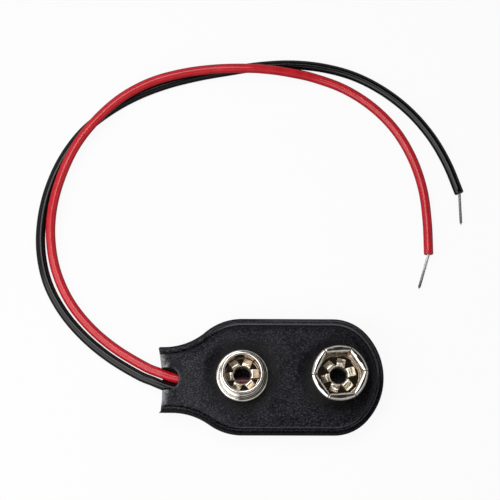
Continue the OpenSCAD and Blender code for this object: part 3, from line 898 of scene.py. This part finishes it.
# Form of the sheets: the weld round the rim, and the face that falls to it along the neck.
# Pairs for band are middle and half width, for rising start and length, for falling end and length.
WELD_IN = 0.85
WELD_DEEP = 0.13
GROOVE = (WELD_IN, 0.085)
BEAD = (WELD_IN - 0.34, 0.2)
BEAD_H = 0.03
FACE_H = 0.45
SLOPE = ((0.12, 0.5, 0.9, 1.3), (0, 0.55, 0.87, 1), 0.16)
FALL_FROM = 5.1
FALL_L = 3.6
LIP_DROP = 0.3
LIP_L = 0.8
LIP_SOFT = 0.9
EDGE_ROUND = 0.16
RIM_FALL = SHEET_T * 0.55
CUT_FALL = SHEET_T * 0.3
SAG = ((0.15, 0.5, 1.0, 1.5, 2.0, 2.45), (0, 0.2, 0.6, 0.88, 0.98, 1), 0.14)
BACK_GROOVE = WELD_DEEP * 0.6
BACK_MARGIN = (WELD_IN + 0.06, 0.12)
weld_z = face_z - SHEET_T - FACE_H

# Softness of the front sheet where neither the terminals nor the weld hold it down
OFF_TERMINALS = (0.2, 1.6)
OFF_WELD = (0.95, 1.5)
PILLOW = 0.06
WAVES = [(5.1, 20, 0.4, 0.03), (3.7, 80, 1.7, 0.014), (2.6, 50, 0.9, 0.01), (2.2, 140, 2.6, 0.008)]
FOLD_H = 0.17
FOLD = (2.2, 1.9)

# Painted shade on the rim band and painted highlight lines along the weld, which differ between the front
# sheet's near side (-Y) and its far side (+Y)
MARGIN_IN = (WELD_IN, WELD_IN - 0.1)
MARGIN_SOFT = (0.3, 0.5)
MARGIN_SHARE = (1, 0.25)
# Painted highlight line on the weld groove's wall that faces the light
HIGHLIGHT_LINE_IN = (WELD_IN + 0.12, WELD_IN - 0.11)
HIGHLIGHT_LINE_HALF = (0.06, 0.08)
HIGHLIGHT_LINE_SHARE = (0.8, 1.3)
HIGHLIGHT_LINE_START_X = (-9, -11)

# Other marks on the front sheet: painted highlight at the tail end, along the far rim and along the notch,
# painted shade along the far edge and round the terminals, and a rough cut edge
FAR_SIDE = (-1, 2)
# Painted highlight on the lip at the tail's cut end: its reach from the cut and its softness
TAIL_HIGHLIGHT_L = 0.95
TAIL_HIGHLIGHT_SOFT = 0.3
# Painted shade on the far side: along the outer edge, and a line on the weld groove's shaded wall
FAR_EDGE_SHADE = (0.24, 0.1)
FAR_GROOVE_SHADE = (WELD_IN + 0.14, 0.12)
HIGHLIGHT_LINE_SOFT = 3
# Painted highlight lines along the far rim's rounded edge and along the notch, fading towards the round end
RIM_LINE = (0.27, 0.06)
RIM_LINE_RISE = (-5, 4)
RIM_LINE_SHARE = 0.6
END_RISE = (7, 3)
END_FADE = 0.45
NOTCH_LINE = (0.1, 0.07)
NOTCH_LINE_RISE = (notch_cx + 0.6, 0.5)
NOTCH_LINE_SHARE = 0.8
OFF_RIM = (1.5, 1)
# Painted shade round the terminals: how far it reaches from a foot's edge
TERMINAL_SHADE_REACH = (0, 1.7)
CUT_EDGE = (0.26, 0.12)


def front_marks(x, y, rim, cut, off_terminals):
    """How much of each mark the front sheet shows at each point."""
    far = rising(y, *FAR_SIDE)
    # Painted highlight on the drooping lip at the tail's cut end
    tail_highlight = falling(cut, TAIL_HIGHLIGHT_L, TAIL_HIGHLIGHT_L) * rising(rim, WELD_IN, TAIL_HIGHLIGHT_SOFT)
    tail_highlight *= falling(x, tail_mid_x + TAIL_HIGHLIGHT_L, TAIL_HIGHLIGHT_SOFT)
    # Painted shade on the rim band, full on the near side and a quarter of it on the far side
    margin = across(MARGIN_SHARE, far) * falling(rim, across(MARGIN_IN, far), across(MARGIN_SOFT, far))
    # Painted shade along the far side's outer edge, and on the weld groove's wall there that faces away from
    # the light
    black = far * np.maximum(falling(rim, *FAR_EDGE_SHADE), band(rim, *FAR_GROOVE_SHADE))
    # Painted highlight lines on the lit wall of the weld groove, the far rim's edge and the notch edge
    highlight_lines = across(HIGHLIGHT_LINE_SHARE, far) * band(rim, across(HIGHLIGHT_LINE_IN, far), across(HIGHLIGHT_LINE_HALF, far))
    highlight_lines += RIM_LINE_SHARE * far * band(rim, *RIM_LINE) * rising(x, *RIM_LINE_RISE)
    highlight_lines *= rising(x, across(HIGHLIGHT_LINE_START_X, far), HIGHLIGHT_LINE_SOFT) * (1 - END_FADE * rising(x, *END_RISE))
    highlight_lines += NOTCH_LINE_SHARE * band(cut, *NOTCH_LINE) * rising(x, *NOTCH_LINE_RISE) * rising(rim, *OFF_RIM)
    return {"weld": band(rim, *GROOVE), "tail_highlight": tail_highlight, "highlight_lines": highlight_lines, "margin": np.maximum(margin, black),
            "pressed": band(np.clip(off_terminals, 0, None), *TERMINAL_SHADE_REACH), "cut_edge": falling(rim, *CUT_EDGE)}


def make_front_sheet():
    """Front sheet: welded rim, soft face with a low fold, and a lip that droops beside the notch."""
    points, triangles, rim, cut = sheet_points(opened=True)
    x, y = points.T
    off_terminals = np.minimum(np.hypot(x - stud_x, y) - stud_foot_r, np.hypot(x - socket_x, y) - socket_r)
    face_share = soft_table(rim - WELD_IN, *SLOPE) * rising(x, stud_x - FALL_FROM - FALL_L, FALL_L)
    lip_share = falling(x, tail_mid_x + LIP_L, LIP_L) * rising(rim, WELD_IN, LIP_SOFT)
    bottom = weld_z + FACE_H * face_share - LIP_DROP * lip_share
    weld = BEAD_H * band(rim, *BEAD) - WELD_DEEP * band(rim, *GROOVE)
    edges = RIM_FALL * rounding(rim, EDGE_ROUND) + CUT_FALL * rounding(cut, EDGE_ROUND)
    free = rising(off_terminals, *OFF_TERMINALS) * rising(rim, *OFF_WELD)
    lumps = PILLOW + ripple(points, WAVES) + FOLD_H * band(y, *FOLD)
    top = bottom + SHEET_T + weld - edges + free * lumps
    marks = front_marks(x, y, rim, cut, off_terminals)
    make_sheet("front_leatherette", points, triangles, top, bottom, marks, "front_cover")


def make_back_sheet():
    """Back sheet: welded rim, and a flat back that sags below it to make room for the leads."""
    points, triangles, rim, _ = sheet_points(opened=False)
    top = weld_z - (weld_z - SHEET_T) * soft_table(rim - WELD_IN, *SAG)
    groove = band(rim, *GROOVE)
    bottom = top - SHEET_T + BACK_GROOVE * groove + RIM_FALL * rounding(rim, EDGE_ROUND)
    # The margin value paints shade on the back's rim band, and smooths its grain
    marks = {"weld": groove, "margin": falling(rim, *BACK_MARGIN)}
    make_sheet("back_leatherette", points, triangles, top, np.maximum(bottom, 0), marks, "back_cover")


make_front_sheet()
make_back_sheet()


# Stud
STUD_R = 2.8
HEAD_WALL = 0.46
FOOT_FALL = 0.36
METAL_T = 0.3
LATHE_STEPS = 180
TARNISH_SOFT = 0.12
TARNISH_RISE = 0.5
BROWN_PAST_BORE = 0.1
CLEAN_RIM = 0.15
stud_bore_r = STUD_R - HEAD_WALL
foot_z = face_z + METAL_T


def stud_profile():
    """Closed section of the stud above the pad face, from its hole outwards."""
    bead = HEAD_WALL / 2
    section = [(HOLE_R, 0), (stud_foot_r - 0.04, 0)]
    section += arc((stud_foot_r - FOOT_FALL, 0.06), FOOT_FALL, 0, 90, 16)
    section += [(3.08, 0.41), (3.02, 0.375), (2.98, 0.37)]
    section += arc((2.84, 0.44), 0.13, 0, 90, 5)
    section += [(2.72, 0.60), (2.62, 0.68), (2.575, 0.8), (2.56, 1.0)]
    section += [(2.56, 1.3), (2.575, 1.48), (2.62, 1.64), (2.70, 1.78)]
    section += [(2.77, 1.88), (STUD_R, 2.0), (STUD_R, 2.3), (STUD_R, stud_h - bead - 0.02)]
    section += arc((STUD_R - bead, stud_h - bead), bead, 0, 180, 14)
    section += [(stud_bore_r, 2.3), (stud_bore_r, 1.5), (stud_bore_r, 0.72), (stud_bore_r - 0.03, 0.5)]
    section += arc((stud_bore_r - 0.18, 0.46), 0.16, 0, -90, 5)
    section += [(1.9, METAL_T), (HOLE_R, METAL_T)]
    return [(r, face_z + z) for r, z in section]


def make_terminal(name, shape, centre_x, hollow_r, clean_z, node):
    """A plated terminal that is brown in its hollow, and clean from a height above the pad's face."""
    piece = make_piece(name, shape.points, shape.faces, nickel_look, node, sharp_angle=50)
    places = points_of(piece)
    out = np.hypot(places[:, 0] - centre_x, places[:, 1])
    below = ease((face_z + clean_z - places[:, 2]) / TARNISH_RISE)
    keep_values(piece, "tarnish", ease((hollow_r - out) / TARNISH_SOFT + 0.5) * below)


stud_shape = Shape()
stud_shape.lathe(stud_profile(), stud_x, LATHE_STEPS)
make_terminal("stud_shell", stud_shape, stud_x, stud_bore_r + BROWN_PAST_BORE, stud_h - CLEAN_RIM,
              "stud_terminal")

# Socket: a round foot, and six leaves that lean out and roll over into the grip
GRIP_D = 5.44
SOCKET_FOOT_D = 6.2
LEAVES = 6
SLIT_W = 0.12
SLIT_ANGLE = 4.0
SLIT_FOOT = 0.75
SLIT_SOFT = 0.12
LEAF_OVERLAP = 0.004
LEAF_FOOT = 0.12
LEAF_FLAT = 0.07
LEAF_HOLLOW_R = 2.9
LEAF_CLEAN_Z = 1.0
GRIP_LIP_H = 0.62
GRIP_FLARE = 0.02
ROLL_R = 0.48
ROLL_TURN = 84
ROOF_CROWN = 0.012
leaf_in = GRIP_D / 2 - 0.1
socket_foot_r = SOCKET_FOOT_D / 2
half_leaf = radians(180 / LEAVES)

# Places across a leaf or a petal, from one edge to the other, with the share of its thickness there
LEAF_EDGE = [(0.96, 1), (0.985, 0.94), (1, 0.76)]
LEAF_STATIONS = ([(-s, thick) for s, thick in reversed(LEAF_EDGE)]
                 + [(s, 1) for s in np.linspace(-0.9, 0.9, 15)] + LEAF_EDGE)
PETAL_HALF = [(0.4, 1), (0.86, 1), (0.95, 0.85), (1, 0.5)]
PETAL_STATIONS = [(-s, thick) for s, thick in reversed(PETAL_HALF)] + [(0, 1)] + PETAL_HALF


def leaf_line(turn):
    """Middle line of a leaf's section at an angle from its middle: up from the foot, over and down."""
    outer = socket_r - LEAF_FLAT * (1 - (turn / half_leaf) ** 2)
    inner = leaf_in / cos(turn)
    roll = min(ROLL_R, (outer - inner) / 2)
    roll_z = socket_h - ROOF_CROWN - roll
    low = np.array((socket_foot_r - 0.05 - METAL_T / 2, LEAF_FOOT))
    high = np.array((outer - METAL_T / 2, roll_z))
    line = [tuple(low + (high - low) * t) for t in np.linspace(0, 1, 12)]
    line += arc((outer - roll, roll_z), roll - METAL_T / 2, 0, ROLL_TURN, 9)[1:]
    roof_start, roof_z = line[-1]
    roof_l = inner + outer - 2 * roof_start
    line += [(roof_start + roof_l * t, roof_z + 4 * t * (1 - t) * ROOF_CROWN)
             for t in np.linspace(0, 1, 8)[1:-1]]
    line += arc((inner + roll, roll_z), roll - METAL_T / 2, 180 - ROLL_TURN, 180, 9)
    line += [(inner + METAL_T / 2 + GRIP_FLARE * t * t, roll_z - GRIP_LIP_H * t)
             for t in np.linspace(0.2, 1, 5)]
    return np.array(line)


def strip_section(line, thickness):
    """Closed section of a strip round its middle line, with a rounded tip."""
    way = np.gradient(line, axis=0)
    way /= np.linalg.norm(way, axis=1)[:, None]
    out = np.column_stack([way[:, 1], -way[:, 0]])
    half = thickness / 2
    tip = [line[-1] + half * (sin(a) * way[-1] + cos(a) * out[-1]) for a in np.linspace(0, pi, 7)[1:-1]]
    return np.vstack([line + half * out, tip, (line - half * out)[::-1]])


def leaf_rows(mid_angle):
    """Sections across one leaf, parted from its neighbours by half a slit on each side."""
    rows = []
    for s, thick in LEAF_STATIONS:
        row = []
        for r, z in strip_section(leaf_line(s * half_leaf), METAL_T * thick):
            slit = SLIT_W / 2 * ease((z - SLIT_FOOT) / SLIT_SOFT + 1) - LEAF_OVERLAP
            turn = mid_angle + s * (half_leaf - slit / r)
            row.append((socket_x + r * cos(turn), r * sin(turn), face_z + z))
        rows.append(row)
    return rows


def socket_foot_profile():
    """Closed section of the socket's round foot and the low cup that its leaves rise from."""
    wall = socket_foot_r - METAL_T / 2
    section = [(HOLE_R, 0), (wall, 0)]
    section += arc((wall, METAL_T / 2), METAL_T / 2, -60, 20, 6)
    section += [(socket_foot_r + 0.05, 0.5), (socket_foot_r + 0.08, SLIT_FOOT - 0.04)]
    section += [(socket_foot_r, SLIT_FOOT), (2.97, SLIT_FOOT - 0.03), (2.88, 0.58), (2.82, 0.42)]
    section += arc((2.68, 0.44), 0.14, 0, -90, 6)
    section += [(2.2, METAL_T), (HOLE_R, METAL_T)]
    return [(r, face_z + z) for r, z in section]


socket_shape = Shape()
socket_shape.lathe(socket_foot_profile(), socket_x, LATHE_STEPS)
for leaf in range(LEAVES):
    socket_shape.skin(leaf_rows(radians(SLIT_ANGLE + (leaf + 0.5) * 360 / LEAVES)))
make_terminal("socket_shell", socket_shape, socket_x, LEAF_HOLLOW_R, LEAF_CLEAN_Z, "socket_terminal")

# Eyelets
EYELET_BORE_R = 1.1
EYELET_T = 0.2
EYELET_STEPS = 72
EYELET_EDGE = 0.05
FLANGE_EDGE_Z = 0.06
PETAL_ROOT = (-0.35, -0.1)
PETAL_CREST = 0.34
PETAL_BEND = 0.30
BEND_PER_RISE = 0.25
PETAL_TURN = 1.25
PETAL_TIP_Z = 0.17
TIP_PER_RISE = 0.05
KNEE_AT = 0.55
KNEE_OUT = np.array((0.05, 0.06))
CURVED_TO = 0.12
FLAT_BACK = 0.02
barrel_out = EYELET_BORE_R + EYELET_T
barrel_mid = EYELET_BORE_R + EYELET_T / 2


def petal_line(rise, reach):
    """Middle line of a petal's section: up the barrel, over its crest and down to the terminal's foot."""
    bend = PETAL_BEND + rise * BEND_PER_RISE
    crest = PETAL_CREST + rise
    line = [(barrel_mid, z) for z in PETAL_ROOT]
    line += [(barrel_mid + bend - bend * cos(a), crest - bend + bend * sin(a))
             for a in np.linspace(0, PETAL_TURN, 8)]
    last = np.array(line[-1])
    tip = np.array((reach, PETAL_TIP_Z + TIP_PER_RISE * rise))
    knee = last + (tip - last) * KNEE_AT + KNEE_OUT
    line += [tuple((1 - t) ** 2 * last + 2 * t * (1 - t) * knee + t * t * tip)
             for t in (0.25, 0.5, 0.75, 1)]
    return np.array(line)


def petal_rows(centre_x, angle, width, rise, reach, lean):
    """Sections across one petal, curved with the barrel at its root and flat further out."""
    line = petal_line(rise, reach)
    rows = []
    for s, thick in PETAL_STATIONS:
        v = s * width / 2
        row = []
        for u, z in strip_section(line, EYELET_T * thick):
            out = sqrt(max(u * u - v * v, 0.01)) if u < barrel_mid + CURVED_TO else u - FLAT_BACK
            x = out * cos(angle) - v * sin(angle)
            y = out * sin(angle) + v * cos(angle)
            row.append((centre_x + x, y, foot_z + z + lean * v * max(0, u - barrel_mid)))
        rows.append(row)
    return rows


def make_eyelet(name, centre_x, petals, node):
    """Flange, barrel and petals, each petal as angle in degrees, width, rise, reach and sideways lean."""
    shape = Shape()
    flange_top = flange_z + EYELET_T
    barrel_top = foot_z - EYELET_EDGE
    shape.lathe([
        (EYELET_BORE_R, flange_z + EYELET_EDGE), (EYELET_BORE_R + EYELET_EDGE, flange_z),
        (flange_r - EYELET_EDGE, flange_z), (flange_r, flange_z + FLANGE_EDGE_Z),
        (flange_r - EYELET_EDGE, flange_top), (barrel_out, flange_top), (barrel_out, barrel_top),
        (EYELET_BORE_R, barrel_top)], centre_x, EYELET_STEPS)
    for angle, width, rise, reach, lean in petals:
        shape.skin(petal_rows(centre_x, radians(angle), width, rise, reach, lean))
    make_piece(name, shape.points, shape.faces, eyelet_look, node, sharp_angle=45)


make_eyelet("stud_petals", stud_x, [
    (6, 1.18, 0.2, 2.22, 0.05), (67, 1.14, 0.12, 2.2, -0.08), (127, 1.12, 0.14, 2.2, 0.1),
    (188, 1.1, 0.16, 2.18, -0.05), (246, 1.16, 0.12, 2.2, 0.06), (309, 1.14, 0.14, 2.2, -0.1)],
    "stud_eyelet")
make_eyelet("socket_petals", socket_x, [
    (16, 1.18, 0.22, 2.24, 0.06), (78, 1.12, 0.1, 2.2, -0.1), (134, 1.14, 0.16, 2.22, 0.08),
    (194, 1.1, 0.16, 2.16, -0.08), (252, 1.16, 0.12, 2.2, 0.1), (313, 1.18, 0.2, 2.24, -0.04)],
    "socket_eyelet")

# Floor: how pale it is to the object and to the camera, and how much of it glows in view and in gloss
FLOOR_HALF = 1500
FLOOR_DROP = 0.02
FLOOR_PALE = (0.14, 0.65)
FLOOR_GLOW = 0.92
FLOOR_GLOSS = 0.1


def make_floor():
    """White floor that keeps the object's shadow and throws little light back on the object."""
    half = FLOOR_HALF * MM
    mesh = bpy.data.meshes.new("floor")
    corners = [(-half, -half, 0), (half, -half, 0), (half, half, 0), (-half, half, 0)]
    mesh.from_pydata(corners, [], [(0, 1, 2, 3)])
    floor = new_object("floor", mesh)
    floor.location.z = -FLOOR_DROP * MM
    material = bpy.data.materials.new("white_floor")
    material.use_nodes = True
    tree = NodeMaker(material.node_tree)
    tree.nodes.clear()
    rays = tree.add("LightPath").outputs
    paleness = tree.add("MapRange", rays["Is Camera Ray"], 0.0, 1.0, *FLOOR_PALE)
    plain = tree.add("BsdfDiffuse", Color=paleness.outputs["Result"])
    glow = tree.add("Emission", Strength=1.0)
    in_gloss = tree.times(rays["Is Glossy Ray"], FLOOR_GLOSS)
    share = tree.math("MULTIPLY_ADD", rays["Is Camera Ray"], FLOOR_GLOW, in_gloss)
    surface = tree.mix_shaders(share, plain.outputs["BSDF"], glow.outputs["Emission"])
    tree.add("OutputMaterial", Surface=surface)
    mesh.materials.append(material)


# World: a studio with bright low sides and a dark patch overhead in gloss, and a soft dome for the rest
STUDIO_TONES = [(0.0, (0.7, 0.7, 0.7)), (0.3, (0.95, 0.95, 0.95)), (0.56, (0.9, 0.9, 0.9)),
                (0.72, (0.4, 0.38, 0.36)), (0.86, (0.04, 0.035, 0.03))]
STUDIO_TILT = 0.14
STUDIO_TWIST = 0.3
STUDIO_LEVEL = 0.78
DOME_TONES = [(0.3, (0.02, 0.02, 0.02)), (1.0, (1.0, 1.0, 1.0))]
DOME_LEVEL = 0.72


def make_world():
    """Light round the object, with plain white behind it in the picture."""
    world = bpy.data.worlds.new("studio")
    scene.world = world
    world.use_nodes = True
    tree = NodeMaker(world.node_tree)
    tree.nodes.clear()

    def background(colour, strength):
        return tree.add("Background", Color=colour, Strength=strength).outputs["Background"]

    place = tree.add("TexCoord").outputs["Generated"]
    parts = tree.add("SeparateXYZ", Vector=place)
    x, y, z = (parts.outputs[name] for name in "XYZ")
    tilt = tree.times(tree.plus(x, y), STUDIO_TILT)
    height = tree.plus(tree.math("MULTIPLY_ADD", tree.times(x, y), STUDIO_TWIST, tilt), z)
    rays = tree.add("LightPath").outputs
    lit = tree.mix_shaders(rays["Is Glossy Ray"], background(tree.ramp(z, DOME_TONES), DOME_LEVEL),
                           background(tree.ramp(height, STUDIO_TONES), STUDIO_LEVEL))
    seen = tree.mix_shaders(rays["Is Camera Ray"], lit, background((1, 1, 1, 1), 1.0))
    tree.add("OutputWorld", Surface=seen)


def make_lamp(name, azimuth, elevation, reach, width, power):
    """Square soft lamp that faces the middle of the pad; angles in degrees, azimuth from +X."""
    turn = radians(azimuth)
    rise = radians(elevation)
    way = Vector((cos(rise) * cos(turn), cos(rise) * sin(turn), sin(rise)))
    data = bpy.data.lights.new(name, "AREA")
    data.shape = "SQUARE"
    data.size = width * MM
    data.energy = power
    lamp = new_object(name, data)
    lamp.location = (Vector((0, 0, face_z)) + way * reach) * MM
    lamp.rotation_euler = way.to_track_quat("Z", "Y").to_euler()


# Lamps: azimuth and elevation in degrees, distance, width, and power in watts
LAMPS = {"key_lamp": (205, 42, 110, 120, 0.108), "fill_lamp": (118, 63, 130, 60, 0.055)}
make_floor()
make_world()
for lamp_name, lamp_values in LAMPS.items():
    make_lamp(lamp_name, *lamp_values)
